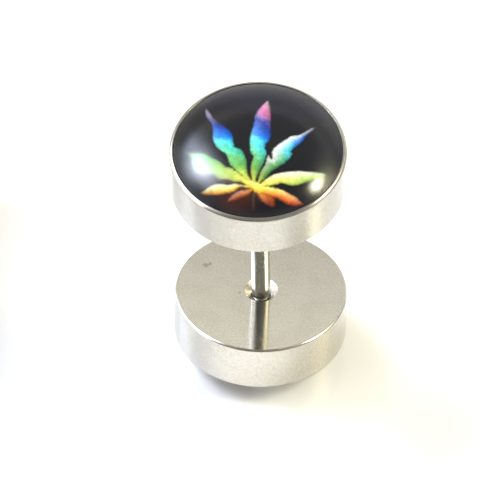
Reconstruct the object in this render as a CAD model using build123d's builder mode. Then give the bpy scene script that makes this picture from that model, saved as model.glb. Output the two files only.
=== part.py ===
from build123d import *
import os
from math import cos, radians, sin, tan

# A fake plug for the ear: two thick steel discs on a thin post. The front disc
# is a shallow cup that holds a printed disc under a clear resin dome. The back
# disc screws onto the post's threaded end. The earring stands on the back
# disc's outer face, unscrewed to the last turns, so that the post leans in the
# mouth of the tapped hole, towards -Y.
# The origin is the centre of the back disc's resting face, +Z is up, and the
# whole object is symmetric about the YZ plane. Millimetres.

# ---- driving dimensions -------------------------------------------------
disc_d = 10.0            # both discs

back_t = 3.0             # back disc, face to face
back_round = 0.14        # rounding of its inner rim
edge_break = 0.05        # at the other outer edges

sink_d = 1.95            # countersink at the mouth of the hole
sink_angle = 90.0
hole_d = 1.14            # tapped hole, taken at the thread's outer diameter
hole_depth = 2.4         # below the inner face

lean = 9.0               # the post's lean towards -Y, degrees
pivot_z = 2.35           # where the leaning post's axis crosses the hole's
grip = 0.25              # how far the post's end reaches below that point

shank_d = 1.1            # smooth part of the post
thread_d = 1.0           # outer diameter of its threaded end, which tapers up to the shank
thread_top = 0.20        # from the pivot to where the threaded end stops
shoulder = 0.80          # from the pivot to where the full shank begins
end_break = 0.08         # chamfer on the threaded end
post_to_front = 11.10    # from the pivot to the front disc's underside
spigot_d = 0.76          # its top end, held in the front disc
socket_d = 0.80          # blind hole in the underside that takes the spigot
socket_depth = 0.9
post_in = 0.85           # how far the spigot reaches into it

front_t = 2.9            # front disc, underside to rim
front_round = 0.20       # rounding of its outer rim
land = 0.03              # flat ring between the rounding and the recess
recess_depth = 0.40
gap = 0.02               # between the recess's wall and what lies in it
seat = 0.01              # between the layers

print_t = 0.15           # printed disc
dome_edge = 0.02         # the resin's edge stands this far below the rim
dome_edge_slope = 30.0   # degrees at the resin's edge
dome_power = 2.0         # the slope grows with this power of the distance from the axis

# ---- derived ------------------------------------------------------------
disc_r = disc_d / 2
recess_r = disc_r - front_round - land
inlay_r = recess_r - gap
up = Vector(0, -sin(radians(lean)), cos(radians(lean)))
pivot = Vector(0, 0, pivot_z)

# local x is across the post and local y runs up along it, in its own leaning
# frame, so that every turned profile of the front half is drawn upright
lean_plane = Plane(origin=pivot, x_dir=(1, 0, 0), z_dir=Vector(1, 0, 0).cross(up))
lean_axis = Axis(pivot, up)
back_plane = Plane.XZ
under = post_to_front
rim_y = under + front_t

# ---- back disc ----------------------------------------------------------
with BuildPart() as back_disc:
    with BuildSketch(back_plane):
        with BuildLine():
            Polyline(
                (disc_r - back_round, back_t),
                (0, back_t),
                (0, 0),
                (disc_r - edge_break, 0),
                (disc_r, edge_break),
                (disc_r, back_t - back_round),
            )
            CenterArc((disc_r - back_round, back_t - back_round), back_round, 0, 90)
        make_face()
    revolve(axis=Axis.Z)
    with Locations(back_disc.faces().sort_by(Axis.Z)[-1]):
        CounterSinkHole(
            radius=hole_d / 2,
            counter_sink_radius=sink_d / 2,
            depth=hole_depth,
            counter_sink_angle=sink_angle,
        )

# ---- post ---------------------------------------------------------------
with BuildPart() as post:
    with BuildSketch(lean_plane):
        with BuildLine():
            Polyline(
                (0, -grip),
                (thread_d / 2 - end_break, -grip),
                (thread_d / 2, -grip + end_break),
                (thread_d / 2, thread_top),
                (shank_d / 2, shoulder),
                (shank_d / 2, under - seat),
                (spigot_d / 2, under - seat),
                (spigot_d / 2, under + post_in),
                (0, under + post_in),
                close=True,
            )
        make_face()
    revolve(axis=lean_axis)

# ---- front disc ---------------------------------------------------------
with BuildPart() as front_disc:
    with BuildSketch(lean_plane):
        with BuildLine():
            Polyline(
                (disc_r - front_round, rim_y),
                (recess_r, rim_y),
                (recess_r, rim_y - recess_depth),
                (0, rim_y - recess_depth),
                (0, under + socket_depth),
                (socket_d / 2, under + socket_depth),
                (socket_d / 2, under),
                (disc_r - edge_break, under),
                (disc_r, under + edge_break),
                (disc_r, rim_y - front_round),
            )
            CenterArc((disc_r - front_round, rim_y - front_round), front_round, 0, 90)
        make_face()
    revolve(axis=lean_axis)

# ---- printed disc -------------------------------------------------------
print_low = rim_y - recess_depth + seat
print_high = print_low + print_t
with BuildPart() as printed_disc:
    with BuildSketch(lean_plane):
        with BuildLine():
            Polyline(
                (0, print_low),
                (inlay_r, print_low),
                (inlay_r, print_high),
                (0, print_high),
                close=True,
            )
        make_face()
    revolve(axis=lean_axis)

# ---- resin dome ---------------------------------------------------------
# nearly flat in the middle, rolling down more and more steeply to the rim: the
# profile is laid through points got by adding up the slope from the edge in
dome_low = print_high + seat
edge_y = rim_y - dome_edge
dome_spans = 16
dome_fine = 40


def slope_at(r):
    return radians(dome_edge_slope) * (r / inlay_r) ** dome_power


dome_points = [(inlay_r, edge_y)]
for k in range(dome_spans):
    r, y = dome_points[-1]
    step = inlay_r / dome_spans / dome_fine
    for _ in range(dome_fine):
        y += step * tan(slope_at(r - step / 2))
        r -= step
    dome_points.append((r if k < dome_spans - 1 else 0.0, y))
crown_y = dome_points[-1][1]
edge_slope = slope_at(inlay_r)

with BuildPart() as dome:
    with BuildSketch(lean_plane):
        with BuildLine():
            Line((0, crown_y), (0, dome_low))
            Line((0, dome_low), (inlay_r, dome_low))
            Line((inlay_r, dome_low), (inlay_r, edge_y))
            Spline(*dome_points, tangents=[(-cos(edge_slope), sin(edge_slope)), (-1, 0)])
        make_face()
    revolve(axis=lean_axis)

# ---- output -------------------------------------------------------------
os.makedirs("parts", exist_ok=True)

back_disc.part.label = "back_disc"
export_step(back_disc.part, "parts/back_disc.step")
post.part.label = "post"
export_step(post.part, "parts/post.step")
front_disc.part.label = "front_disc"
export_step(front_disc.part, "parts/front_disc.step")
printed_disc.part.label = "printed_disc"
export_step(printed_disc.part, "parts/printed_disc.step")
dome.part.label = "dome"
export_step(dome.part, "parts/dome.step")

for each in (back_disc, post, front_disc, printed_disc, dome):
    box = each.part.bounding_box()
    print(each.part.label, "volume", round(each.part.volume, 3), "mm3, box", box.min, box.max)
rim = pivot + up * rim_y
print("underside centre", pivot + up * under, "rim centre", rim, "crown", round(crown_y - rim_y, 3), "above the rim")
worst = grip * tan(radians(lean)) + thread_d / 2 / cos(radians(lean))
print("least clearance of the leaning end in the hole", round(hole_d / 2 - worst, 4))
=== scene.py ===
from math import atan2, cos, pi, radians, sin, tan

import bpy
import numpy as np
from mathutils import Matrix, Vector


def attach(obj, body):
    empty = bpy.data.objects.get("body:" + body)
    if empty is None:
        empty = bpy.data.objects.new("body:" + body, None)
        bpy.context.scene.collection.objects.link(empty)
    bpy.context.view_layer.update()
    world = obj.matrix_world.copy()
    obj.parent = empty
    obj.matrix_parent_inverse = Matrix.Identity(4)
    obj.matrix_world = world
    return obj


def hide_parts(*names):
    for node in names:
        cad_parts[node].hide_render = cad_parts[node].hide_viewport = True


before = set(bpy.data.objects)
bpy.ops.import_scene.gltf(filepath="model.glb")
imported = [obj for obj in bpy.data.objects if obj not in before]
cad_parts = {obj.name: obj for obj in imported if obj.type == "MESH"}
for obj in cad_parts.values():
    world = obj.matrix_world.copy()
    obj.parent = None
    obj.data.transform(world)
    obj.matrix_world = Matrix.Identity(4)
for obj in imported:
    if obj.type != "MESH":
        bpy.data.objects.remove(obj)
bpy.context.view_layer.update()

# A fake plug for the ear: two thick steel discs on a thin post. The front disc
# holds a black print with a rainbow leaf under a clear resin dome. The back
# disc is unscrewed to its last turns, so the post leans in the mouth of its
# hole. Lengths below are millimetres and are scaled to metres where meshes are
# made.
MM = 0.001

# ---- places ---------------------------------------------------------------
LEAN = radians(9.0)
PIVOT = Vector((0.0, 0.0, 2.35)) * MM
UPHILL = Vector((0.0, cos(LEAN), sin(LEAN)))
ALONG = Vector((0.0, -sin(LEAN), cos(LEAN)))
leaning = Matrix(
    (
        (1.0, UPHILL.x, ALONG.x, PIVOT.x),
        (0.0, UPHILL.y, ALONG.y, PIVOT.y),
        (0.0, UPHILL.z, ALONG.z, PIVOT.z),
        (0.0, 0.0, 0.0, 1.0),
    )
)
upright = Matrix.Identity(4)


# ---- turned pieces --------------------------------------------------------
def rounded(corners):
    """corners is a list of (r, z, rounding). Returns the profile's points with the outward normal of each, tangent-continuous."""
    pts = [np.array(c[:2], float) for c in corners]
    out = []
    last = len(pts) - 1
    for i, (p, c) in enumerate(zip(pts, corners)):
        if i in (0, last):
            q = pts[1] if i == 0 else pts[last - 1]
            t = (q - p) if i == 0 else (p - q)
            t = t / np.linalg.norm(t)
            out.append((p, (t[1], -t[0])))
            continue
        a = pts[i - 1] - p
        b = pts[i + 1] - p
        la, lb = np.linalg.norm(a), np.linalg.norm(b)
        a, b = a / la, b / lb
        n1 = np.array((-a[1], a[0]))
        n2 = np.array((b[1], -b[0]))
        half = 0.5 * np.arccos(np.clip(np.dot(a, b), -1, 1))
        cut = min(
            c[2] / tan(half),
            0.95 * la * c[2] / (c[2] + corners[i - 1][2]),
            0.95 * lb * c[2] / (c[2] + corners[i + 1][2]),
        )
        rad = cut * tan(half)
        centre = p + (a + b) / np.linalg.norm(a + b) * (rad / sin(half))
        start = p + a * cut
        t1 = atan2(*(start - centre)[::-1])
        end = p + b * cut
        t2 = atan2(*(end - centre)[::-1])
        turn = (t2 - t1 + pi) % (2 * pi) - pi
        sign = 1.0 if np.dot(start - centre, n1) > 0 else -1.0
        steps = 12 if rad > 0.1 else 4
        for k in range(steps + 1):
            t = t1 + turn * k / steps
            d = np.array((cos(t), sin(t)))
            out.append((centre + rad * d, tuple(sign * d)))
    return out


def divided(profile, spans):
    """Adds points along straight stretches. spans is a list of (z or r range test, step)."""
    out = [profile[0]]
    for (p, n), (q, m) in zip(profile, profile[1:]):
        length = float(np.linalg.norm(np.array(q) - np.array(p)))
        step = None
        for test, s in spans:
            if test((np.array(p) + np.array(q)) / 2) and length > s * 1.5:
                step = s
                break
        if step:
            parts = int(round(length / step))
            for k in range(1, parts):
                f = k / parts
                nn = np.array(n) * (1 - f) + np.array(m) * f
                nn = nn / np.linalg.norm(nn)
                out.append((np.array(p) * (1 - f) + np.array(q) * f, tuple(nn)))
        out.append((q, m))
    return out


def turned(name, profile, segs, place, body, shift=None):
    """A closed solid of revolution from a profile that starts and ends on the axis. shift(r, z, angle) gives the radius of a point that isn't simply turned, such as a thread."""
    verts, norms, faces = [], [], []
    angles = np.arange(segs) * 2 * pi / segs
    rows = []
    bent = []
    for p, n in profile:
        r, z = float(p[0]), float(p[1])
        if r < 1e-9:
            rows.append((len(verts), 1))
            verts.append((0.0, 0.0, z * MM))
            norms.append((0.0, 0.0, 1.0 if n[1] > 0 else -1.0))
            bent.append(False)
            continue
        rows.append((len(verts), segs))
        for a in angles:
            rr = r
            moved = False
            if shift is not None:
                rr = shift(r, z, a)
                moved = abs(rr - r) > 1e-7
            verts.append((rr * cos(a) * MM, rr * sin(a) * MM, z * MM))
            norms.append((n[0] * cos(a), n[0] * sin(a), n[1]))
            bent.append(moved)
    for (i, ni), (j, nj) in zip(rows, rows[1:]):
        if ni == 1 and nj == 1:
            continue
        for k in range(segs):
            k2 = (k + 1) % segs
            if ni == 1:
                faces.append((i, j + k2, j + k))
            elif nj == 1:
                faces.append((i + k, i + k2, j))
            else:
                faces.append((i + k, i + k2, j + k2, j + k))
    mesh = bpy.data.meshes.new(name)
    mesh.from_pydata(verts, [], faces)
    mesh.validate()
    mesh.polygons.foreach_set("use_smooth", [True] * len(mesh.polygons))
    mesh.update()
    smooth = np.zeros(len(mesh.vertices) * 3, np.float32)
    mesh.vertices.foreach_get("normal", smooth)
    smooth = smooth.reshape(-1, 3)
    given = np.array(norms, np.float32)
    soft = np.zeros(len(verts), bool)
    if any(bent):
        b = np.array(bent)
        for (i, ni) in rows:
            if ni > 1 and b[i : i + ni].any():
                soft[i : i + ni] = True
    given[soft] = smooth[soft]
    mesh.normals_split_custom_set_from_vertices(given.tolist())
    obj = bpy.data.objects.new(name, mesh)
    bpy.context.scene.collection.objects.link(obj)
    obj.matrix_world = place
    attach(obj, body)
    return obj


def tooth(phase):
    """0 at a thread's crest to 1 at its root, slightly flattened at both."""
    u = abs((phase % 1.0) * 2 - 1)
    return min(1.0, max(0.0, (u - 0.12) / 0.76))


def fade(v, low, high, soft):
    return min(1.0, max(0.0, (v - low) / soft)) * min(1.0, max(0.0, (high - v) / soft))


PITCH = 0.25

back_profile = divided(
    rounded(
        [
            (0, 0, 0),
            (4.94, 0, 0.03),
            (5.0, 0.06, 0.03),
            (5.0, 3.0, 0.14),
            (0.975, 3.0, 0.015),
            (0.57, 2.595, 0.03),
            (0.57, 0.6, 0.04),
            (0, 0.6, 0),
        ]
    ),
    [
        (lambda m: abs(m[0] - 0.57) < 1e-3, 0.025),
        (lambda m: m[1] > 2.9 or m[1] < 0.01, 0.5),
    ],
)


def hole_thread(r, z, a):
    if abs(r - 0.57) > 0.012 or not 0.66 < z < 2.57:
        return r
    return r + 0.062 * tooth(z / PITCH - a / (2 * pi)) * fade(z, 0.68, 2.57, 0.08)


back_disc = turned("back_disc_steel", back_profile, 256, upright, "back", hole_thread)
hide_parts("back_disc")

post_profile = divided(
    rounded(
        [
            (0, -0.25, 0),
            (0.42, -0.25, 0.02),
            (0.50, -0.17, 0.02),
            (0.50, 0.20, 0.05),
            (0.55, 0.80, 0.5),
            (0.55, 11.09, 0.01),
            (0.38, 11.09, 0.01),
            (0.38, 11.95, 0.04),
            (0, 11.95, 0),
        ]
    ),
    [
        (lambda m: m[1] < 0.75 and m[0] > 0.45, 0.02),
        (lambda m: m[1] < 11.0 and m[0] > 0.45, 0.8),
    ],
)


def post_thread(r, z, a):
    if not -0.19 < z < 0.62 or r < 0.45:
        return r
    return r - 0.075 * tooth(z / PITCH - a / (2 * pi)) * fade(z, -0.19, 0.62, 0.09)


post = turned("post_steel", post_profile, 144, leaning, "front", post_thread)
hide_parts("post")

front_profile = divided(
    rounded(
        [
            (0, 12.0, 0),
            (0.40, 12.0, 0.02),
            (0.40, 11.10, 0.012),
            (4.94, 11.10, 0.03),
            (5.0, 11.16, 0.03),
            (5.0, 14.0, 0.20),
            (4.77, 14.0, 0.012),
            (4.77, 13.60, 0.03),
            (0, 13.60, 0),
        ]
    ),
    [(lambda m: m[1] < 11.11 or abs(m[1] - 13.6) < 0.01, 0.5)],
)
front_disc = turned("front_disc_steel", front_profile, 256, leaning, "front")
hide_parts("front_disc")

# ---- resin dome -----------------------------------------------------------
# nearly flat in the middle, its slope growing with the square of the distance
# from the axis
DOME_R, EDGE_Z, BED_Z = 4.75, 13.98, 13.755
DOME_SLOPE = radians(30.0)
dome_r = np.linspace(0.0, DOME_R, 1901)
dome_s = DOME_SLOPE * (dome_r / DOME_R) ** 2
fall = np.concatenate(([0.0], np.cumsum((np.tan(dome_s[1:]) + np.tan(dome_s[:-1])) / 2 * np.diff(dome_r))))
dome_z = EDGE_Z + fall[-1] - fall
ROUND = 0.012
dome_profile = [(np.array((0.0, BED_Z)), (0.0, -1.0))]
for r in (1.0, 2.0, 3.0, 4.0):
    dome_profile.append((np.array((r, BED_Z)), (0.0, -1.0)))
for k in range(5):
    a = -pi / 2 + k * pi / 8
    dome_profile.append((np.array((DOME_R - 0.01 + 0.01 * cos(a), BED_Z + 0.01 + 0.01 * sin(a))), (cos(a), sin(a))))
lip_r = DOME_R - ROUND * (1 - sin(DOME_SLOPE))
lip_z = float(np.interp(lip_r, dome_r, dome_z))
for k in range(5):
    a = k * (pi / 2 - DOME_SLOPE) / 4
    dome_profile.append(
        (
            np.array((DOME_R - ROUND * (1 - cos(a)), lip_z - ROUND * cos(DOME_SLOPE) + ROUND * sin(a))),
            (cos(a), sin(a)),
        )
    )
for k in range(1, 49):
    r = lip_r * (1 - k / 48)
    a = DOME_SLOPE * (r / DOME_R) ** 2
    dome_profile.append((np.array((r, float(np.interp(r, dome_r, dome_z)))), (sin(a), cos(a))))
dome = turned("resin_dome", dome_profile, 256, leaning, "front")
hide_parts("dome")

# ---- the print ------------------------------------------------------------
# The leaf's outlines, given on the print in mm: x to the right, y towards
# the top of the leaf. Each leaflet has two edges, both from its tip to its
# base.
LEAFLETS = {
    "top": (
        [
            (-0.02, 3.35), (-0.11, 3.22), (-0.23, 2.98), (-0.36, 2.75), (-0.44, 2.52), (-0.50, 2.30), (-0.53, 2.08),
            (-0.50, 1.84), (-0.50, 1.62), (-0.50, 1.37), (-0.52, 1.15), (-0.54, 0.90), (-0.53, 0.60), (-0.50, 0.35),
            (-0.44, 0.07), (-0.38, -0.18), (-0.29, -0.42), (-0.18, -0.54), (-0.12, -0.68), (-0.14, -0.88), (-0.16, -1.13),
            (-0.14, -1.37), (-0.11, -1.59), (-0.06, -1.82), (0.03, -2.05), (0.09, -2.30),
        ],
        [
            (0.16, 2.92), (0.25, 2.59), (0.32, 2.26), (0.35, 1.97), (0.40, 1.68), (0.48, 1.31), (0.55, 0.99),
            (0.55, 0.74), (0.48, 0.51), (0.39, 0.33), (0.36, 0.11), (0.43, -0.09), (0.51, -0.24), (0.52, -0.45),
            (0.49, -0.66), (0.48, -0.86), (0.45, -1.07), (0.40, -1.28), (0.35, -1.49), (0.32, -1.72), (0.26, -1.93),
            (0.24, -2.28),
        ],
    ),
    "upper_left": (
        [
            (-3.28, 2.30), (-3.26, 2.07), (-3.18, 1.84), (-3.05, 1.61), (-2.87, 1.41), (-2.73, 1.20), (-2.68, 0.99),
            (-2.62, 0.77), (-2.57, 0.56), (-2.54, 0.34), (-2.48, 0.13), (-2.36, -0.07), (-2.22, -0.27), (-2.03, -0.44),
            (-1.72, -0.64), (-1.55, -0.83), (-1.45, -1.03), (-1.36, -1.23), (-1.23, -1.42), (-1.04, -1.60), (-0.84, -1.76),
            (-0.57, -1.95), (-0.24, -2.15), (0.03, -2.32),
        ],
        [
            (-3.13, 2.16), (-2.92, 1.90), (-2.74, 1.66), (-2.51, 1.45), (-2.19, 1.27), (-1.94, 1.08), (-1.73, 0.89),
            (-1.59, 0.69), (-1.50, 0.48), (-1.45, 0.27), (-1.38, 0.06), (-1.28, -0.15), (-1.03, -0.24), (-0.88, -0.32),
            (-0.73, -0.50), (-0.62, -0.70), (-0.52, -0.90), (-0.45, -1.10), (-0.40, -1.31), (-0.33, -1.63), (-0.23, -1.90),
            (-0.05, -2.13),
        ],
    ),
    "upper_right": (
        [
            (2.82, 1.92), (2.63, 1.82), (2.49, 1.65), (2.33, 1.47), (2.13, 1.29), (1.94, 1.18), (1.72, 1.09),
            (1.58, 0.99), (1.46, 0.82), (1.32, 0.68), (1.19, 0.51), (1.05, 0.33), (0.92, 0.12), (0.85, -0.10),
            (0.85, -0.31), (0.91, -0.51), (0.89, -0.67), (0.79, -0.62), (0.69, -0.47), (0.62, -0.60), (0.62, -0.84),
            (0.61, -1.04), (0.55, -1.25), (0.46, -1.49), (0.42, -1.71), (0.41, -1.95), (0.39, -2.25),
        ],
        [
            (2.70, 1.67), (2.54, 1.43), (2.44, 1.21), (2.36, 0.99), (2.26, 0.77), (2.12, 0.57), (1.96, 0.36),
            (1.85, 0.18), (1.82, -0.00), (1.89, -0.11), (1.86, -0.28), (1.79, -0.46), (1.67, -0.62), (1.59, -0.79),
            (1.43, -0.95), (1.29, -1.12), (1.15, -1.27), (0.98, -1.46), (0.88, -1.66), (0.76, -1.88), (0.63, -2.07),
            (0.49, -2.30),
        ],
    ),
    "left": (
        [
            (-3.91, -0.78), (-3.73, -0.88), (-3.53, -1.15), (-3.37, -1.64), (-3.10, -1.99), (-2.70, -2.12), (-2.39, -2.06),
            (-2.10, -2.10), (-1.95, -2.21), (-1.74, -2.34), (-1.45, -2.35), (-1.20, -2.33), (-1.01, -2.39), (-0.81, -2.41),
            (-0.59, -2.38), (-0.43, -2.43), (-0.17, -2.53), (0.15, -2.60),
        ],
        [
            (-3.62, -0.84), (-3.27, -0.81), (-2.93, -0.79), (-2.66, -0.86), (-2.51, -0.98), (-2.27, -1.10), (-1.97, -1.21),
            (-1.78, -1.33), (-1.62, -1.49), (-1.44, -1.60), (-1.27, -1.57), (-1.03, -1.69), (-0.74, -1.85), (-0.51, -2.01),
            (-0.23, -2.15), (0.10, -2.31),
        ],
    ),
    "right": (
        [
            (4.03, -1.10), (3.82, -1.04), (3.52, -1.05), (3.21, -1.07), (2.92, -1.11), (2.66, -1.14), (2.36, -1.19),
            (2.14, -1.26), (1.91, -1.33), (1.69, -1.41), (1.46, -1.50), (1.24, -1.61), (1.08, -1.73), (0.95, -1.85),
            (0.82, -1.98), (0.70, -2.14), (0.58, -2.32), (0.43, -2.46),
        ],
        [
            (3.73, -1.35), (3.51, -1.46), (3.30, -1.56), (3.11, -1.69), (2.95, -1.78), (2.78, -1.88), (2.67, -1.96),
            (2.53, -2.04), (2.34, -2.11), (2.14, -2.15), (1.98, -2.12), (1.80, -2.09), (1.60, -2.12), (1.46, -2.19),
            (1.34, -2.25), (1.14, -2.35), (0.87, -2.43), (0.62, -2.55), (0.49, -2.67),
        ],
    ),
    "lower_left": (
        [
            (-2.57, -3.38), (-2.50, -3.45), (-2.29, -3.46), (-2.00, -3.42), (-1.71, -3.37), (-1.44, -3.32), (-1.16, -3.21),
            (-0.95, -3.12), (-0.77, -3.02), (-0.66, -2.88), (-0.57, -2.78), (-0.42, -2.71), (-0.13, -2.74), (0.17, -2.75),
        ],
        [
            (-2.49, -3.27), (-2.34, -3.10), (-2.19, -2.94), (-2.03, -2.83), (-1.88, -2.74), (-1.65, -2.67), (-1.40, -2.67),
            (-1.17, -2.69), (-0.97, -2.60), (-0.84, -2.56), (-0.64, -2.57), (-0.44, -2.59), (-0.17, -2.56), (0.15, -2.55),
        ],
    ),
    "lower_right": (
        [
            (3.04, -3.18), (2.82, -3.05), (2.67, -2.94), (2.53, -2.85), (2.34, -2.78), (2.15, -2.71), (1.95, -2.62),
            (1.76, -2.55), (1.52, -2.51), (1.22, -2.48), (0.93, -2.47), (0.63, -2.52), (0.45, -2.64),
        ],
        [
            (3.04, -3.30), (2.87, -3.34), (2.70, -3.40), (2.45, -3.40), (2.20, -3.37), (1.94, -3.26), (1.72, -3.14),
            (1.50, -3.06), (1.30, -3.03), (1.04, -3.00), (0.76, -2.96), (0.53, -2.91),
        ],
    ),
    "small_right": (
        [
            (1.52, -3.70), (1.50, -3.45), (1.46, -3.20), (1.30, -3.02), (0.99, -2.92), (0.72, -2.87), (0.50, -2.78),
        ],
        [
            (1.25, -3.62), (1.05, -3.54), (0.85, -3.40), (0.68, -3.26), (0.56, -3.11), (0.47, -2.93),
        ],
    ),
    "small_left": (
        [
            (-1.02, -3.74), (-0.97, -3.54), (-0.88, -3.36), (-0.74, -3.17), (-0.55, -3.02), (-0.34, -2.92), (-0.08, -2.84),
            (0.12, -2.70),
        ],
        [
            (-0.84, -3.68), (-0.64, -3.58), (-0.46, -3.44), (-0.28, -3.30), (-0.10, -3.20), (0.06, -3.04), (0.20, -2.77),
        ],
    ),
    "stem": (
        [
            (0.43, -4.15), (0.36, -3.71), (0.30, -3.32), (0.24, -2.85),
        ],
        [
            (0.50, -4.14), (0.43, -3.70), (0.37, -3.30), (0.33, -2.83),
        ],
    ),
    "middle": (
        [
            (-0.45, -2.32), (-0.15, -2.24), (0.10, -2.26), (0.34, -2.29), (0.52, -2.36), (0.70, -2.46), (0.80, -2.60),
        ],
        [
            (-0.22, -2.50), (0.00, -2.62), (0.18, -2.74), (0.36, -2.88), (0.52, -2.93), (0.66, -2.86), (0.80, -2.68),
        ],
    ),
}

# How each leaflet is coloured: its place in the rainbow and its brightness at
# points from base (0) to tip (1); how far it moves along the rainbow from its
# first edge to its second; how white its pale edge is and which edge that is
# (-1 the first, 1 the second); how deep the other edge; how soft its outline
# is; how strongly its teeth cut in.
LOOK = {
    "top": (
        [(0, 0.31), (0.10, 0.39), (0.20, 0.48), (0.28, 0.53), (0.35, 0.57), (0.43, 0.60), (0.50, 0.64), (0.56, 0.685),
         (0.66, 0.73), (0.73, 0.775), (0.77, 0.83), (0.82, 0.90), (0.92, 0.94), (1, 0.98)],
        [(0, 0.9), (0.08, 0.62), (0.2, 0.72), (0.4, 1.0), (0.6, 0.95), (0.74, 0.75), (0.82, 0.9), (0.92, 0.9), (1, 0.75)],
        0.040, (0.10, -1), 0.42, 0.066, 0.030,
    ),
    "upper_left": (
        [(0, 0.31), (0.12, 0.39), (0.22, 0.47), (0.35, 0.52), (0.45, 0.57), (0.52, 0.615), (0.60, 0.66), (0.68, 0.70),
         (0.78, 0.735), (0.84, 0.775), (0.90, 0.82), (1, 0.83)],
        [(0, 0.95), (0.2, 0.78), (0.45, 1.0), (0.68, 0.9), (0.78, 0.65), (0.86, 0.52), (0.92, 0.62), (1, 0.66)],
        0.040, (0.07, -1), 0.34, 0.066, 0.030,
    ),
    "upper_right": (
        [(0, 0.35), (0.15, 0.43), (0.30, 0.48), (0.45, 0.54), (0.57, 0.60), (0.72, 0.645), (0.86, 0.69), (1, 0.78)],
        [(0, 0.8), (0.1, 0.55), (0.3, 0.68), (0.45, 0.85), (0.62, 1.0), (0.78, 0.85), (0.9, 0.6), (1, 0.4)],
        0.030, (0.90, -1), 0.46, 0.066, 0.034,
    ),
    "left": (
        [(0, 0.305), (0.20, 0.345), (0.40, 0.38), (0.55, 0.425), (0.70, 0.46), (1, 0.50)],
        [(0, 0.95), (0.3, 0.80), (0.6, 0.73), (1, 0.78)],
        0.010, (0.04, 1), 0.36, 0.066, 0.030,
    ),
    "right": (
        [(0, 0.29), (0.20, 0.305), (0.50, 0.33), (0.80, 0.375), (1, 0.44)],
        [(0, 1.0), (0.3, 0.95), (0.6, 0.92), (0.85, 0.80), (1, 0.55)],
        0.030, (0.70, -1), 0.30, 0.066, 0.026,
    ),
    "lower_left": (
        [(0, 0.27), (0.25, 0.28), (0.50, 0.275), (0.80, 0.255), (1, 0.21)],
        [(0, 0.75), (0.15, 0.76), (0.4, 0.95), (0.75, 0.95), (0.9, 0.6), (1, 0.4)],
        0.090, (0.50, 1), 0.36, 0.074, 0.024,
    ),
    "lower_right": (
        [(0, 0.27), (0.20, 0.235), (0.50, 0.18), (0.80, 0.13), (1, 0.08)],
        [(0, 1.0), (0.5, 0.95), (0.8, 0.75), (1, 0.35)],
        -0.085, (0.14, -1), 0.34, 0.078, 0.026,
    ),
    "small_right": (
        [(0, 0.19), (0.45, 0.13), (0.8, 0.09), (1, 0.07)],
        [(0, 0.85), (0.4, 0.55), (0.75, 0.38), (1, 0.26)],
        0.0, (0.06, 1), 0.10, 0.105, 0.030,
    ),
    "small_left": (
        [(0, 0.20), (0.40, 0.14), (1, 0.10)],
        [(0, 0.75), (0.3, 0.62), (0.7, 0.48), (1, 0.36)],
        0.0, (0.34, -1), 0.20, 0.110, 0.030,
    ),
    "stem": (
        [(0, 0.20), (1, 0.16)],
        [(0, 0.22), (0.3, 0.09), (0.7, 0.07), (1, 0.03)],
        0.0, (1.25, -1), 0.0, 0.065, 0.0,
    ),
    "middle": (
        [(0, 0.27), (0.5, 0.275), (1, 0.29)],
        [(0, 1.0), (1, 1.0)],
        -0.03, (0.12, -1), 0.06, 0.075, 0.0,
    ),
}


# tips that pale toward their ends: where along the leaflet that starts, and how
# white the very end is. On the left leaflet this paling is a painted highlight,
# standing in for the window's glare on the dome above its tip.
PALE_TIPS_AND_GLARE = {"upper_left": (0.80, 0.42), "upper_right": (0.85, 0.45), "top": (0.90, 0.30), "left": (0.78, 0.35)}


def flowing(points, per=7):
    """An open Catmull-Rom curve through the points."""
    p = np.array(points, float)
    n = len(p)
    out = []
    for i in range(n - 1):
        p0, p1, p2, p3 = p[max(i - 1, 0)], p[i], p[i + 1], p[min(i + 2, n - 1)]
        for k in range(per):
            t = k / per
            out.append(
                0.5
                * (
                    2 * p1
                    + (p2 - p0) * t
                    + (2 * p0 - 5 * p1 + 4 * p2 - p3) * t * t
                    + (3 * p1 - p0 - 3 * p2 + p3) * t ** 3
                )
            )
    out.append(p[-1])
    return np.array(out)


def toothed(edge, depth, sign, rng):
    """Moves an edge in and out like a leaf's saw teeth that point at the tip."""
    if depth <= 0:
        return edge
    step = np.linalg.norm(np.diff(edge, axis=0), axis=1)
    run = np.concatenate(([0.0], np.cumsum(step)))
    way = np.gradient(edge, axis=0)
    way /= np.linalg.norm(way, axis=1)[:, None] + 1e-9
    normal = np.stack((way[:, 1], -way[:, 0]), 1) * sign
    phase = run / run[-1] * max(4, int(round(run[-1] / 0.26)))
    saw = 1 - phase % 1.0
    size = 0.65 + 0.35 * np.sin(phase * 1.7 + rng.uniform(0, 6))
    calm = np.clip(np.minimum(run, run[-1] - run) / 0.35, 0, 1)
    return edge + normal * ((saw - 0.5) * depth * 1.4 * size * calm)[:, None]


def nearest(px, py, line):
    """The distance to an open line, and how far along it its nearest point is, 0 to 1."""
    step = np.linalg.norm(np.diff(line, axis=0), axis=1)
    run = np.concatenate(([0.0], np.cumsum(step)))
    best = np.full(px.shape, 1e9)
    far = np.zeros(px.shape)
    for i, ((x1, y1), (x2, y2)) in enumerate(zip(line[:-1], line[1:])):
        dx, dy = x2 - x1, y2 - y1
        t = np.clip(((px - x1) * dx + (py - y1) * dy) / (dx * dx + dy * dy + 1e-12), 0, 1)
        d = (px - x1 - t * dx) ** 2 + (py - y1 - t * dy) ** 2
        near = d < best
        best = np.where(near, d, best)
        far = np.where(near, run[i] + t * step[i], far)
    return np.sqrt(best), far / run[-1]


def within(px, py, poly):
    """Whether points lie inside a closed outline."""
    inside = np.zeros(px.shape, bool)
    for (x1, y1), (x2, y2) in zip(poly, np.roll(poly, -1, 0)):
        inside ^= ((y1 > py) != (y2 > py)) & (px < (x2 - x1) * (py - y1) / ((y2 - y1) or 1e-12) + x1)
    return inside


PRINT_R, PRINT_LOW, PRINT_TOP = 4.75, 13.61, 13.76
SEGS, RINGS = 480, 112


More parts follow.
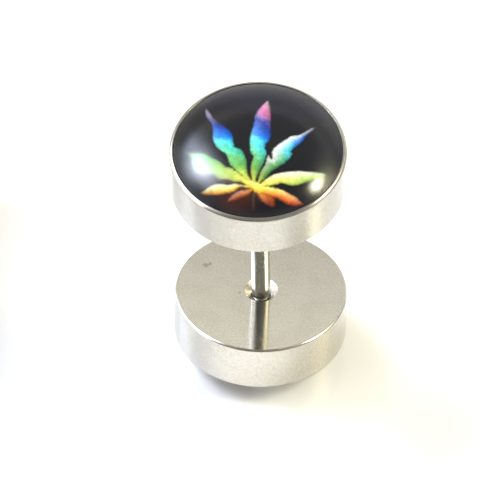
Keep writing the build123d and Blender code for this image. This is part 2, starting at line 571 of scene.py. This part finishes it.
def print_mesh():
    verts, faces = [], []
    rows = []

    def row(r, z):
        rows.append((len(verts), SEGS if r > 0 else 1))
        if r <= 0:
            verts.append((0.0, 0.0, z * MM))
        else:
            for k in range(SEGS):
                a = 2 * pi * k / SEGS
                verts.append((r * cos(a) * MM, r * sin(a) * MM, z * MM))

    row(0, PRINT_LOW)
    row(PRINT_R - 0.02, PRINT_LOW)
    row(PRINT_R, PRINT_LOW + 0.02)
    row(PRINT_R, PRINT_TOP - 0.01)
    row(PRINT_R - 0.01, PRINT_TOP)
    for k in range(RINGS - 1, 0, -1):
        row((PRINT_R - 0.01) * k / RINGS, PRINT_TOP)
    row(0, PRINT_TOP)
    for (i, ni), (j, nj) in zip(rows, rows[1:]):
        for k in range(SEGS):
            k2 = (k + 1) % SEGS
            if ni == 1:
                faces.append((i, j + k2, j + k))
            elif nj == 1:
                faces.append((i + k, i + k2, j))
            else:
                faces.append((i + k, i + k2, j + k2, j + k))
    mesh = bpy.data.meshes.new("print_with_leaf")
    mesh.from_pydata(verts, [], faces)
    mesh.validate()
    mesh.update()
    return mesh


mesh = print_mesh()
co = np.zeros(len(mesh.vertices) * 3, np.float32)
mesh.vertices.foreach_get("co", co)
co = co.reshape(-1, 3).astype(float) / MM
px, py = co[:, 0], co[:, 1]
rng = np.random.default_rng(11)

top_side = co[:, 2] > PRINT_TOP - 0.005
keys = list(LEAFLETS)
# the ink's edges are ragged and its colour is uneven, as fine ripples in many directions
ragged = np.zeros(len(px))
uneven = np.zeros(len(px))
for k in range(36):
    heading, length = rng.uniform(0, pi), rng.uniform(0.13, 0.34)
    ripple = np.sin((px * cos(heading) + py * sin(heading)) * 2 * pi / length + rng.uniform(0, 2 * pi))
    ragged += ripple * 0.0027
    heading, length = rng.uniform(0, pi), rng.uniform(0.16, 0.6)
    uneven += np.sin((px * cos(heading) + py * sin(heading)) * 2 * pi / length + rng.uniform(0, 2 * pi)) / 6
depth_in = np.full((len(keys), len(px)), -9.0)
covers = np.zeros((len(keys), len(px)))
hue = np.full((len(keys), len(px)), 0.3)
bright = np.zeros((len(keys), len(px)))
pale = np.zeros((len(keys), len(px)))
for i, key in enumerate(keys):
    first, second = LEAFLETS[key]
    places, lights, across, (white, white_side), deep, soft, teeth = LOOK[key]
    first = flowing(first)
    second = flowing([tuple(first[0])] + second)
    u, v = second[len(second) // 2] - first[-1], first[len(first) // 2] - first[-1]
    sign = 1.0 if u[0] * v[1] - u[1] * v[0] < 0 else -1.0
    first = toothed(first, teeth, sign, rng)
    second = toothed(second, teeth, -sign, rng)
    outline = np.concatenate((first, second[::-1]))
    low, high = outline.min(0) - 0.35, outline.max(0) + 0.35
    near = top_side & (px > low[0]) & (px < high[0]) & (py > low[1]) & (py < high[1])
    qx, qy = px[near], py[near]
    d1, f1 = nearest(qx, qy, first)
    d2, f2 = nearest(qx, qy, second)
    d0, _ = nearest(qx, qy, np.array([first[-1], second[-1]]))
    gone = np.minimum(np.minimum(d1, d2), d0)
    t = 1 - (f1 * d2 + f2 * d1) / (d1 + d2 + 1e-9)
    d = np.where(within(qx, qy, outline), gone, -gone) + ragged[near] * np.clip(t / 0.3, 0.25, 1)
    side = (d1 - d2) / (d1 + d2 + 1e-9)
    cover = np.clip(0.5 + d / (2 * soft), 0, 1)
    toward_pale = side * white_side
    depth_in[i, near] = d
    covers[i, near] = cover * cover * (3 - 2 * cover)
    hue[i, near] = np.interp(t, *zip(*places)) + across * side + 0.008 * uneven[near]
    body = np.clip(d / 0.16, 0, 1)
    bright[i, near] = np.interp(t, *zip(*lights)) * (1 - deep * np.clip(0.5 - 0.5 * toward_pale, 0, 1) ** 1.3) * (0.72 + 0.28 * body) * (1 + 0.05 * uneven[near])
    pale[i, near] = white * np.clip(0.5 + 0.62 * toward_pale, 0, 1) ** 1.6 * np.clip((t - 0.05) / 0.3, 0, 1)
    # pale tips; on the left leaflet a painted highlight of the window's glare
    if key in PALE_TIPS_AND_GLARE:
        start, end = PALE_TIPS_AND_GLARE[key]
        pale[i, near] += end * np.clip((t - start) / (1 - start), 0, 1) ** 0.7
# where pieces overlap the brighter one shows, so none cuts a dark line through another
share = (covers + 1e-3 * np.exp((depth_in - depth_in.max(0)) / 0.045)) * (bright + 0.02) ** 3
share /= share.sum(0)
layers = {
    "leaf": 1 - np.prod(1 - covers, axis=0),
    "leaf_place": (share * hue).sum(0),
    "leaf_light": (share * bright).sum(0),
    "leaf_pale": (share * pale).sum(0),
}
for name, values in layers.items():
    layer = mesh.attributes.new(name, "FLOAT", "POINT")
    layer.data.foreach_set("value", values.astype(np.float32))
printed = bpy.data.objects.new("print_with_leaf", mesh)
bpy.context.scene.collection.objects.link(printed)
printed.matrix_world = leaning
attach(printed, "front")
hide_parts("printed_disc")


# ---- materials ------------------------------------------------------------
class Tree:
    """Short calls for building a node tree."""

    def __init__(self, owner):
        owner.use_nodes = True
        self.t = owner.node_tree
        self.t.nodes.clear()

    def node(self, kind, inputs=None, **settings):
        n = self.t.nodes.new(kind)
        for k, v in settings.items():
            setattr(n, k, v)
        for k, v in (inputs or {}).items():
            self.put(n.inputs[k], v)
        return n

    def put(self, socket, value):
        if isinstance(value, bpy.types.NodeSocket):
            self.t.links.new(value, socket)
        else:
            socket.default_value = value

    def math(self, op, a, b=None, c=None, clamp=False):
        n = self.t.nodes.new("ShaderNodeMath")
        n.operation = op
        n.use_clamp = clamp
        for s, v in zip(n.inputs, (a, b, c)):
            if v is not None:
                self.put(s, v)
        return n.outputs[0]

    def vmath(self, op, a, b=None, scale=None):
        n = self.t.nodes.new("ShaderNodeVectorMath")
        n.operation = op
        self.put(n.inputs[0], a)
        if b is not None:
            self.put(n.inputs[1], b)
        if scale is not None:
            self.put(n.inputs["Scale"], scale)
        return n.outputs["Value"] if op in ("LENGTH", "DOT_PRODUCT", "DISTANCE") else n.outputs[0]

    def ramp(self, value, stops, interpolation="LINEAR"):
        n = self.t.nodes.new("ShaderNodeValToRGB")
        n.color_ramp.interpolation = interpolation
        e = n.color_ramp.elements
        while len(e) > 1:
            e.remove(e[-1])
        for i, (p, c) in enumerate(stops):
            if i:
                k = e.new(p)
            else:
                k = e[0]
                k.position = p
            k.color = (*c, 1.0) if isinstance(c, tuple) else (c, c, c, 1.0)
        self.put(n.inputs[0], value)
        return n.outputs[0]

    def between(self, value, a, b, c=0.0, d=1.0, smooth=False):
        n = self.t.nodes.new("ShaderNodeMapRange")
        n.interpolation_type = "SMOOTHSTEP" if smooth else "LINEAR"
        for i, v in enumerate((value, a, b, c, d)):
            self.put(n.inputs[i], v)
        return n.outputs[0]

    def mix(self, f, a, b, kind="MIX"):
        n = self.t.nodes.new("ShaderNodeMix")
        n.data_type = "RGBA"
        n.blend_type = kind
        self.put(n.inputs[0], f)
        self.put(n.inputs[6], a)
        self.put(n.inputs[7], b)
        return n.outputs[2]


def steel(name, tint, rough, rings, specks=(), sheen_tone=(1.0, 1.0, 1.0), left=1.0, drilled=False):
    """Turned and tumbled stainless steel: very faint circles round the axis, a soft mottle, a few fine hairlines. The
    sheen tone gives its tone at y = 4 and at y = -4, in mm, and on the side wall; the flats' change of tone between
    those two places is a painted reflection. left gives its tone at the far left, a painted shade.
    """
    m = bpy.data.materials.new(name)
    t = Tree(m)
    place = t.node("ShaderNodeTexCoord").outputs["Object"]
    mm = t.vmath("SCALE", place, scale=1000.0)
    sep = t.node("ShaderNodeSeparateXYZ", {0: mm})
    x, y, z = sep.outputs
    flat = t.node("ShaderNodeCombineXYZ", {0: x, 1: y, 2: 0.0}).outputs[0]
    r = t.vmath("LENGTH", flat)
    way = t.node("ShaderNodeSeparateXYZ", {0: t.vmath("NORMALIZE", flat)})

    def circles(pitch, turns, detail):
        v = t.node(
            "ShaderNodeCombineXYZ",
            {
                0: t.math("MULTIPLY", r, pitch),
                1: t.math("MULTIPLY", z, pitch),
                2: t.math("MULTIPLY", way.outputs[0], turns),
            },
        ).outputs[0]
        n = t.node(
            "ShaderNodeTexNoise",
            {"Vector": v, "W": t.math("MULTIPLY", way.outputs[1], turns), "Scale": 1.0, "Detail": detail, "Roughness": 0.6},
            noise_dimensions="4D",
        )
        return n.outputs[0]

    fine = circles(16.0, 0.9, 3.0)
    pebble = t.node("ShaderNodeTexNoise", {"Vector": mm, "Scale": 5.5, "Detail": 3.0, "Roughness": 0.55}).outputs[0]
    grit = t.node("ShaderNodeTexNoise", {"Vector": mm, "Scale": 9.0, "Detail": 3.0, "Roughness": 0.7}).outputs[0]

    def hairlines(turn, seed, cut):
        rot = t.node(
            "ShaderNodeMapping",
            {0: mm, 1: (seed, seed * 0.7, 0.0), 2: (0.2, 0.3, turn), 3: (0.35, 16.0, 9.0)},
        ).outputs[0]
        n = t.node("ShaderNodeTexNoise", {"Vector": rot, "Scale": 1.0, "Detail": 1.0}).outputs[0]
        return t.between(n, cut, cut + 0.08, 0.0, 1.0)

    scratch = t.math("MAXIMUM", hairlines(0.7, 3.1, 0.72), hairlines(2.2, 8.3, 0.74))
    smudge = t.node("ShaderNodeTexNoise", {"Vector": mm, "Scale": 0.6, "Detail": 4.0, "Roughness": 0.55}).outputs[0]
    patch = t.between(smudge, 0.36, 0.68, 0.0, 1.0, smooth=True)

    pit = None
    for (sx, sy, sz), size in specks:
        d = t.vmath("DISTANCE", mm, (sx, sy, sz))
        s = t.between(t.math("ADD", d, t.math("MULTIPLY", t.math("SUBTRACT", grit, 0.5), size * 1.4)), size * 0.2, size, 1.0, 0.0, smooth=True)
        pit = s if pit is None else t.math("MAXIMUM", pit, s)

    colour = t.mix(patch, (*tint, 1.0), (tint[0] * 0.95, tint[1] * 0.94, tint[2] * 0.92, 1.0))
    colour = t.mix(t.between(pebble, 0.35, 0.7, 0.0, 0.35), colour, (tint[0] * 0.88, tint[1] * 0.87, tint[2] * 0.85, 1.0))
    colour = t.mix(t.math("MULTIPLY", fine, 0.10), colour, (tint[0] * 0.8, tint[1] * 0.79, tint[2] * 0.77, 1.0))
    tone = t.between(grit, 0.32, 0.68, 0.88, 1.10)
    # painted reflection: the flats change tone from the back (y = 4) to the front (y = -4), and the side wall takes its
    # own tone
    if sheen_tone[0] != sheen_tone[1]:
        on_wall = t.between(r, 4.90, 4.98, 0.0, 1.0)
        sheen_across_flats = t.math("MULTIPLY", t.between(y, 4.0, -4.0, sheen_tone[0], sheen_tone[1]), t.math("SUBTRACT", 1.0, on_wall))
        tone = t.math("MULTIPLY", tone, t.math("ADD", sheen_across_flats, t.math("MULTIPLY", on_wall, sheen_tone[2])))
    # painted shade: the steel is darker toward its far left
    if left != 1.0:
        tone = t.math("MULTIPLY", tone, t.between(x, -4.9, -2.4, left, 1.0, smooth=True))
    colour = t.vmath("SCALE", colour, scale=tone)
    if pit is not None:
        colour = t.mix(t.math("MULTIPLY", pit, 0.45), colour, (0.16, 0.15, 0.10, 1.0))
    ro = t.math("ADD", rough, t.math("MULTIPLY", patch, rough * 0.5))
    ro = t.math("ADD", ro, t.math("MULTIPLY", t.math("SUBTRACT", pebble, 0.5), rough * 0.6))
    ro = t.math("ADD", ro, t.math("MULTIPLY", scratch, 0.05), clamp=True)
    if drilled:
        bore = t.math("MULTIPLY", t.between(r, 0.97, 0.99, 1.0, 0.0), t.between(z, 0.5, 0.6, 0.0, 1.0))
        marks = circles(42.0, 0.3, 1.0)
        ro = t.math("ADD", ro, t.math("MULTIPLY", bore, t.between(marks, 0.35, 0.65, 0.16, 0.36)))
    height = t.math("ADD", t.math("MULTIPLY", fine, rings * 0.35), t.math("MULTIPLY", pebble, rings * 0.35))
    height = t.math("ADD", height, t.math("MULTIPLY", grit, rings * 0.12))
    height = t.math("SUBTRACT", height, t.math("MULTIPLY", scratch, 0.10))
    if pit is not None:
        height = t.math("SUBTRACT", height, t.math("MULTIPLY", pit, 0.4))
    bump = t.node("ShaderNodeBump", {"Strength": 1.0, "Distance": 0.000004, "Height": height}).outputs[0]
    b = t.node(
        "ShaderNodeBsdfPrincipled",
        {"Base Color": colour, "Metallic": 1.0, "Roughness": ro, "Normal": bump},
    )
    out = t.node("ShaderNodeOutputMaterial")
    t.t.links.new(b.outputs[0], out.inputs[0])
    return m


back_disc.data.materials.append(
    steel(
        "back_disc_steel",
        (0.595, 0.570, 0.515),
        0.075,
        1.0,
        specks=(((-3.51, 1.43, 3.0), 0.26), ((-3.30, 1.58, 3.0), 0.18), ((-1.17, -0.46, 3.0), 0.11)),
        # the flats are painted lighter toward the front, a painted reflection
        sheen_tone=(0.93, 1.21, 1.085),
        drilled=True,
    )
)
# the front disc's far left is painted darker, a painted shade
front_disc.data.materials.append(steel("front_disc_steel", (0.552, 0.530, 0.477), 0.085, 1.0, left=0.79))
post.data.materials.append(steel("post_steel", (0.43, 0.435, 0.405), 0.2, 0.15))

# printed black with a rainbow leaf, colours in bands across it
m = bpy.data.materials.new("leaf_print")
t = Tree(m)
place = t.node("ShaderNodeTexCoord").outputs["Object"]
mm = t.vmath("SCALE", place, scale=1000.0)
sep = t.node("ShaderNodeSeparateXYZ", {0: mm})
x, y = sep.outputs[0], sep.outputs[1]
mask = t.node("ShaderNodeAttribute", attribute_name="leaf").outputs["Fac"]
spot_in_rainbow = t.node("ShaderNodeAttribute", attribute_name="leaf_place").outputs["Fac"]
shine = t.node("ShaderNodeAttribute", attribute_name="leaf_light").outputs["Fac"]
paleness = t.node("ShaderNodeAttribute", attribute_name="leaf_pale").outputs["Fac"]
wave = t.node("ShaderNodeTexNoise", {"Vector": mm, "Scale": 1.7, "Detail": 3.0}).outputs[0]
h = t.math("ADD", spot_in_rainbow, t.math("MULTIPLY", t.math("SUBTRACT", wave, 0.5), 0.05), clamp=True)
rainbow = t.ramp(
    h,
    [
        (0.00, (0.40, 0.018, 0.012)),
        (0.08, (0.62, 0.070, 0.016)),
        (0.16, (0.80, 0.22, 0.028)),
        (0.24, (0.90, 0.55, 0.060)),
        (0.30, (0.93, 0.82, 0.12)),
        (0.37, (0.56, 0.76, 0.13)),
        (0.44, (0.20, 0.58, 0.12)),
        (0.50, (0.15, 0.56, 0.18)),
        (0.56, (0.09, 0.70, 0.46)),
        (0.62, (0.09, 0.78, 0.92)),
        (0.665, (0.006, 0.25, 0.90)),
        (0.71, (0.004, 0.115, 0.66)),
        (0.76, (0.022, 0.055, 0.42)),
        (0.81, (0.18, 0.13, 0.52)),
        (0.87, (0.48, 0.20, 0.52)),
        (0.92, (0.68, 0.14, 0.38)),
        (1.00, (0.74, 0.40, 0.54)),
    ],
)
grain = t.node("ShaderNodeTexNoise", {"Vector": mm, "Scale": 9.0, "Detail": 3.0, "Roughness": 0.6}).outputs[0]
blots = t.node("ShaderNodeTexNoise", {"Vector": mm, "Scale": 3.2, "Detail": 2.0, "Roughness": 0.5}).outputs[0]
dots = t.math("MULTIPLY", t.between(grain, 0.3, 0.7, 0.82, 1.10), t.between(blots, 0.3, 0.7, 0.84, 1.10))
ink = t.mix(paleness, rainbow, (0.93, 0.95, 0.93, 1.0))
strength = t.math("MULTIPLY", shine, dots)
ink = t.vmath("SCALE", ink, scale=strength)
# the black is faintly red below the leaf and faintly blue above it
glow = t.vmath("DISTANCE", mm, (-0.6, -3.0, PRINT_TOP))
ember = t.between(glow, 0.2, 1.9, 1.0, 0.0, smooth=True)
black = t.mix(grain, (0.0020, 0.0023, 0.0045, 1.0), (0.0070, 0.0072, 0.0105, 1.0))
black = t.mix(t.between(y, 1.9, 3.4, 0.0, 0.8, smooth=True), black, (0.0030, 0.0030, 0.0165, 1.0))
black = t.mix(t.math("MULTIPLY", ember, 0.8), black, (0.048, 0.012, 0.008, 1.0))
colour = t.mix(mask, black, ink)
bump = t.node("ShaderNodeBump", {"Strength": 0.4, "Distance": 0.000002, "Height": grain}).outputs[0]
b = t.node(
    "ShaderNodeBsdfPrincipled",
    {"Base Color": colour, "Roughness": t.between(grain, 0.3, 0.7, 0.55, 0.7), "Specular IOR Level": 0.0, "Normal": bump},
)
out = t.node("ShaderNodeOutputMaterial")
t.t.links.new(b.outputs[0], out.inputs[0])
printed.data.materials.append(m)



def lets_light_through(t, surface, colour):
    """Ends a clear material: light on its way to what lies behind goes straight through, so it is neither lost nor counted twice."""
    rays = t.node("ShaderNodeLightPath").outputs
    clear = t.node("ShaderNodeBsdfTransparent", {0: colour})
    first = t.node("ShaderNodeMixShader", {0: rays["Is Shadow Ray"], 1: surface.outputs[0], 2: clear.outputs[0]})
    second = t.node("ShaderNodeMixShader", {0: rays["Is Diffuse Ray"], 1: first.outputs[0], 2: clear.outputs[0]})
    out = t.node("ShaderNodeOutputMaterial")
    t.t.links.new(second.outputs[0], out.inputs[0])


# clear epoxy resin
m = bpy.data.materials.new("clear_resin")
t = Tree(m)
place = t.node("ShaderNodeTexCoord").outputs["Object"]
mm = t.vmath("SCALE", place, scale=1000.0)
ripple = t.node("ShaderNodeTexNoise", {"Vector": mm, "Scale": 0.45, "Detail": 1.0}).outputs[0]
haze = t.node("ShaderNodeTexNoise", {"Vector": mm, "Scale": 1.6, "Detail": 4.0}).outputs[0]
bump = t.node("ShaderNodeBump", {"Strength": 1.0, "Distance": 0.000006, "Height": ripple}).outputs[0]
b = t.node(
    "ShaderNodeBsdfPrincipled",
    {
        "Base Color": (1.0, 1.0, 1.0, 1.0),
        "Roughness": t.between(haze, 0.35, 0.7, 0.015, 0.05),
        "IOR": 1.48,
        "Transmission Weight": 1.0,
        "Normal": bump,
    },
)
lets_light_through(t, b, (0.97, 0.97, 0.96, 1.0))
dome.data.materials.append(m)

# ---- floor ----------------------------------------------------------------
# a clear sheet laid over white paper, so the shadow starts a little inside the
# edge of what stands on it
def plane(name, size, z):
    mesh = bpy.data.meshes.new(name)
    mesh.from_pydata([(-size, -size, z), (size, -size, z), (size, size, z), (-size, size, z)], [], [(0, 1, 2, 3)])
    mesh.update()
    obj = bpy.data.objects.new(name, mesh)
    bpy.context.scene.collection.objects.link(obj)
    return obj


paper_floor = plane("paper_floor", 1.2, -0.00190)
m = bpy.data.materials.new("white_paper")
t = Tree(m)
place = t.node("ShaderNodeTexCoord").outputs["Object"]
cloud = t.node("ShaderNodeTexNoise", {"Vector": place, "Scale": 60.0, "Detail": 3.0}).outputs[0]
paper = t.mix(cloud, (0.865, 0.865, 0.868, 1.0), (0.905, 0.905, 0.905, 1.0))
# painted shadow: the paper is a little greyer away from the middle, most on the left
x, y, _ = t.node("ShaderNodeSeparateXYZ", {0: place}).outputs
leftward = t.between(x, -0.003, -0.033, 0.0, 1.0)
painted_shade = t.ramp(leftward, [(0.0, 0.0), (0.08, 0.12), (0.167, 0.14), (0.253, 0.19), (0.353, 0.24), (0.407, 0.36), (0.48, 0.44), (0.60, 0.42), (0.8, 0.24), (1.0, 0.10)])
painted_shade = t.math("MULTIPLY", painted_shade, t.between(y, -0.017, -0.007, 0.5, 1.0, True))
beside = t.between(y, 0.0075, 0.0115, 1.0, 0.2, True)
painted_shade = t.math("MULTIPLY", painted_shade, beside)
# painted shade on the right too
painted_shade = t.math("ADD", painted_shade, t.between(x, 0.007, 0.013, 0.0, 0.14, True))
# and a painted shadow, darker under the disc that stands on it
out_from_middle = t.vmath("LENGTH", t.node("ShaderNodeCombineXYZ", {0: x, 1: y, 2: 0.0}).outputs[0])
shade_under_disc = t.ramp(t.between(out_from_middle, 0.0038, 0.0062, 0.0, 1.0), [(0.0, 0.42), (0.21, 0.38), (0.37, 0.26), (0.50, 0.21), (0.65, 0.15), (0.8, 0.06), (1.0, 0.0)])
# the painted shadow is darkest from its middle to its left
shade_along_edge = t.ramp(t.between(x, -0.0045, 0.0045, 0.0, 1.0), [(0.0, 0.0), (0.12, 0.2), (0.22, 0.72), (0.32, 1.0), (0.5, 0.98), (0.58, 0.6), (0.68, 0.22), (0.8, 0.18), (0.9, 0.22), (1.0, 0.0)])
painted_shade = t.math("ADD", painted_shade, t.math("MULTIPLY", shade_under_disc, shade_along_edge))
paper = t.vmath("SCALE", paper, scale=t.math("SUBTRACT", 1.0, painted_shade))
# a warm tint painted into part of the painted shadow on the left
warm_shade_tint = t.mix(t.math("MULTIPLY", beside, t.math("MULTIPLY", t.between(leftward, 0.36, 0.5, 0.0, 1.0), t.between(leftward, 0.65, 1.0, 1.0, 0.0))), (1.0, 1.0, 1.0, 1.0), (1.0, 0.97, 0.88, 1.0))
paper = t.vmath("MULTIPLY", paper, warm_shade_tint)
b = t.node("ShaderNodeBsdfPrincipled", {"Base Color": paper, "Roughness": 0.9, "Specular IOR Level": 0.1})
out = t.node("ShaderNodeOutputMaterial")
t.t.links.new(b.outputs[0], out.inputs[0])
paper_floor.data.materials.append(m)

clear_sheet = plane("clear_sheet", 1.2, -0.00001)
m = bpy.data.materials.new("clear_sheet")
t = Tree(m)
place = t.node("ShaderNodeTexCoord").outputs["Object"]
haze = t.node("ShaderNodeTexNoise", {"Vector": place, "Scale": 90.0, "Detail": 2.0}).outputs[0]
b = t.node(
    "ShaderNodeBsdfPrincipled",
    {
        "Base Color": (1.0, 1.0, 1.0, 1.0),
        "Roughness": t.between(haze, 0.35, 0.7, 0.02, 0.06),
        "IOR": 1.5,
        "Transmission Weight": 1.0,
    },
)
lets_light_through(t, b, (1.0, 1.0, 1.0, 1.0))
clear_sheet.data.materials.append(m)

# ---- light ----------------------------------------------------------------
# A pale room seen in the metal: white all round up to half height, brightest
# at both sides, dim overhead and dark where the camera stands, with a cool
# window high on the left and a warm lamp high on the right. Directions are in
# degrees, az from +Y towards +X and el up from the floor.
world = bpy.data.worlds.new("studio")
bpy.context.scene.world = world
t = Tree(world)
way = t.node("ShaderNodeTexCoord").outputs["Generated"]
xyz = t.node("ShaderNodeSeparateXYZ", {0: way}).outputs
DEG = 180 / pi
az = t.math("MULTIPLY", t.math("ARCTAN2", xyz[0], xyz[1]), DEG)
away = t.math("MULTIPLY", t.math("ARCTAN2", t.math("MULTIPLY", xyz[0], -1.0), t.math("MULTIPLY", xyz[1], -1.0)), DEG)
el = t.math("MULTIPLY", t.math("ARCSINE", xyz[2]), DEG)
el01 = t.math("DIVIDE", el, 90.0, clamp=True)
TOP = 4.0


def heights(stops):
    """Radiance against height: stops are (degrees up, level) or (degrees up, (r, g, b))."""
    return t.ramp(
        el01,
        [(h / 90, tuple(c / TOP for c in (v if isinstance(v, tuple) else (v, v * 0.985, v * 0.90)))) for h, v in stops],
    )


behind = heights(
    [(0, 1.5), (9, 1.3), (20, 1.15), (30, 0.95), (37, 0.86), (42, 0.93), (46, 0.98), (52, 0.60), (58, 0.52), (64, 0.50), (76, 0.35), (90, 0.30)]
)
left = heights(
    [
        (0, (1.5, 1.5, 1.5)),
        (6, (2.9, 2.93, 2.98)),
        (20, (2.9, 2.95, 3.03)),
        (28, (1.7, 1.73, 1.78)),
        (38, (1.3, 1.32, 1.36)),
        (46, (1.2, 1.2, 1.22)),
        (52, (0.9, 0.9, 0.9)),
        (60, (0.55, 0.55, 0.54)),
        (72, (0.35, 0.34, 0.33)),
        (90, (0.30, 0.29, 0.27)),
    ]
)
right = heights(
    [
        (0, 1.0),
        (14, 0.7),
        (24, (1.0, 0.94, 0.8)),
        (38, (2.0, 1.88, 1.6)),
        (46, 1.2),
        (52, 0.5),
        (58, 0.4),
        (66, 0.45),
        (72, 0.35),
        (90, 0.30),
    ]
)
near = heights(
    [(0, 0.26), (22, 0.22), (50, 0.22), (55, 0.5), (60, 0.6), (65, 0.4), (70, 0.25), (80, 0.32), (90, 0.35)]
)
near_more = t.between(away, -66.0, 5.0, 2.0, 1.0)
near_more = t.mix(t.between(el, 50.0, 56.0, 0.0, 1.0), near_more, (1.0, 1.0, 1.0, 1.0))
near = t.mix(1.0, near, near_more, "MULTIPLY")
in_left = t.math("MULTIPLY", t.between(az, -133.0, -125.0, 0.0, 1.0, True), t.between(az, -64.0, -46.0, 1.0, 0.0, True))
in_behind = t.math("MULTIPLY", t.between(az, -64.0, -46.0, 0.0, 1.0, True), t.between(az, 54.0, 78.0, 1.0, 0.0, True))
in_right = t.math("MULTIPLY", t.between(az, 54.0, 78.0, 0.0, 1.0, True), t.between(az, 103.0, 116.0, 1.0, 0.0, True))
sky = t.mix(in_left, near, left)
sky = t.mix(in_behind, sky, behind)
sky = t.mix(in_right, sky, right)
sky = t.vmath("SCALE", sky, scale=TOP)
# the back is a little brighter to its right and dimmer to its left
sway = t.math("MULTIPLY", t.between(az, -5.0, 25.0, 0.0, 0.3, True), t.between(az, 38.0, 50.0, 1.0, 0.0, True))
sway = t.math("SUBTRACT", sway, t.math("MULTIPLY", t.between(az, -50.0, -40.0, 0.0, 0.25, True), t.between(az, -28.0, -15.0, 1.0, 0.0, True)))
band = t.math("MULTIPLY", t.between(el, 12.0, 22.0, 0.0, 1.0, True), t.between(el, 34.0, 42.0, 1.0, 0.0, True))
sky = t.vmath("SCALE", sky, scale=t.math("ADD", 1.0, t.math("MULTIPLY", sway, band)))
# and dim low down to its far right
low_right = t.math("MULTIPLY", t.between(az, 34.0, 48.0, 0.0, 0.5, True), t.between(az, 82.0, 92.0, 1.0, 0.0, True))
low_right = t.math("MULTIPLY", low_right, t.between(el, 24.0, 33.0, 1.0, 0.0, True))
sky = t.vmath("SCALE", sky, scale=t.math("SUBTRACT", 1.0, low_right))


def glow(az0, el0, wide, tall, colour, firm):
    """A bright place in the sky that fades all round, wide and tall in degrees. A firm one is flatter and has a sharper edge."""
    a = t.math("DIVIDE", t.math("SUBTRACT", az, az0), wide)
    b = t.math("DIVIDE", t.math("SUBTRACT", el, el0), tall)
    d = t.math("ADD", t.math("MULTIPLY", a, a), t.math("MULTIPLY", b, b))
    if firm > 1:
        d = t.math("POWER", d, float(firm))
    return t.vmath("SCALE", colour, scale=t.math("EXPONENT", t.math("MULTIPLY", d, -1.0)))


for shape in (
    (-70, 57, 18, 11.5, (18.0, 19.6, 23.5), 1),
    (-72, 57, 11, 6, (7.0, 7.0, 7.5), 1),
    (-55, 43, 9, 6, (2.9, 3.4, 4.4), 1),
    (-93, 62, 12, 6, (4.0, 4.2, 5.0), 1),
    (77, 58, 13.5, 6.2, (19.0, 17.8, 11.5), 2),
    (77.5, 58, 9.5, 4.8, (8.0, 8.5, 13.0), 2),
    (77, 53, 17, 10, (8.0, 7.4, 4.6), 1),
    (83, 37, 16, 6, (2.8, 2.2, 1.0), 1),
    (-120, 37, 23, 6, (2.5, 2.5, 2.7), 1),
    (45, 53, 14, 9, (0.4, 0.4, 0.36), 1),
):
    sky = t.vmath("ADD", sky, glow(*shape))
bg = t.node("ShaderNodeBackground", {0: sky, 1: 1.0})
out = t.node("ShaderNodeOutputWorld")
t.t.links.new(bg.outputs[0], out.inputs[0])


def toward(az, el):
    a, e = radians(az), radians(el)
    return (sin(a) * cos(e), cos(a) * cos(e), sin(e))


def softbox(name, az, el, dist, size, watts, colour):
    """A large light that only fills; it isn't seen in the metal."""
    data = bpy.data.lights.new(name, "AREA")
    data.shape = "DISK"
    data.size = size
    data.energy = watts
    data.color = colour
    obj = bpy.data.objects.new(name, data)
    bpy.context.scene.collection.objects.link(obj)
    d = Vector(toward(az, el))
    obj.location = d * dist
    obj.rotation_euler = d.to_track_quat("Z", "Y").to_euler()
    obj.visible_glossy = False
    obj.visible_camera = False
    obj.visible_transmission = False
    return obj


softbox("fill_above", 0, 72, 0.9, 0.7, 0.24, (0.93, 0.97, 1.0))

# ---- camera ---------------------------------------------------------------
spot = Vector((31.7225, -203.5202, 207.7398)) * MM
look = Vector((-0.113556, 0.706400, -0.698644)).normalized()
across = look.cross(Vector((0, 0, 1))).normalized()
rise = across.cross(look).normalized()
roll = radians(0.97465)
right = across * cos(roll) + rise * sin(roll)
top = -across * sin(roll) + rise * cos(roll)
cam = bpy.data.objects.new("camera", bpy.data.cameras.new("camera"))
bpy.context.scene.collection.objects.link(cam)
cam.matrix_world = Matrix(
    (
        (right.x, top.x, -look.x, spot.x),
        (right.y, top.y, -look.y, spot.y),
        (right.z, top.z, -look.z, spot.z),
        (0, 0, 0, 1),
    )
)
cam.data.sensor_width = 36.0
cam.data.lens = 5000.0 / 490.0 * 36.0
cam.data.clip_start = 0.01
cam.data.clip_end = 10.0
cam.data.dof.use_dof = False
bpy.context.scene.camera = cam

scene = bpy.context.scene
scene.view_settings.view_transform = "Standard"
scene.view_settings.look = "None"
scene.view_settings.exposure = 0.0
scene.view_settings.gamma = 1.0
scene.cycles.max_bounces = 12
scene.cycles.transmission_bounces = 10
scene.cycles.transparent_max_bounces = 12
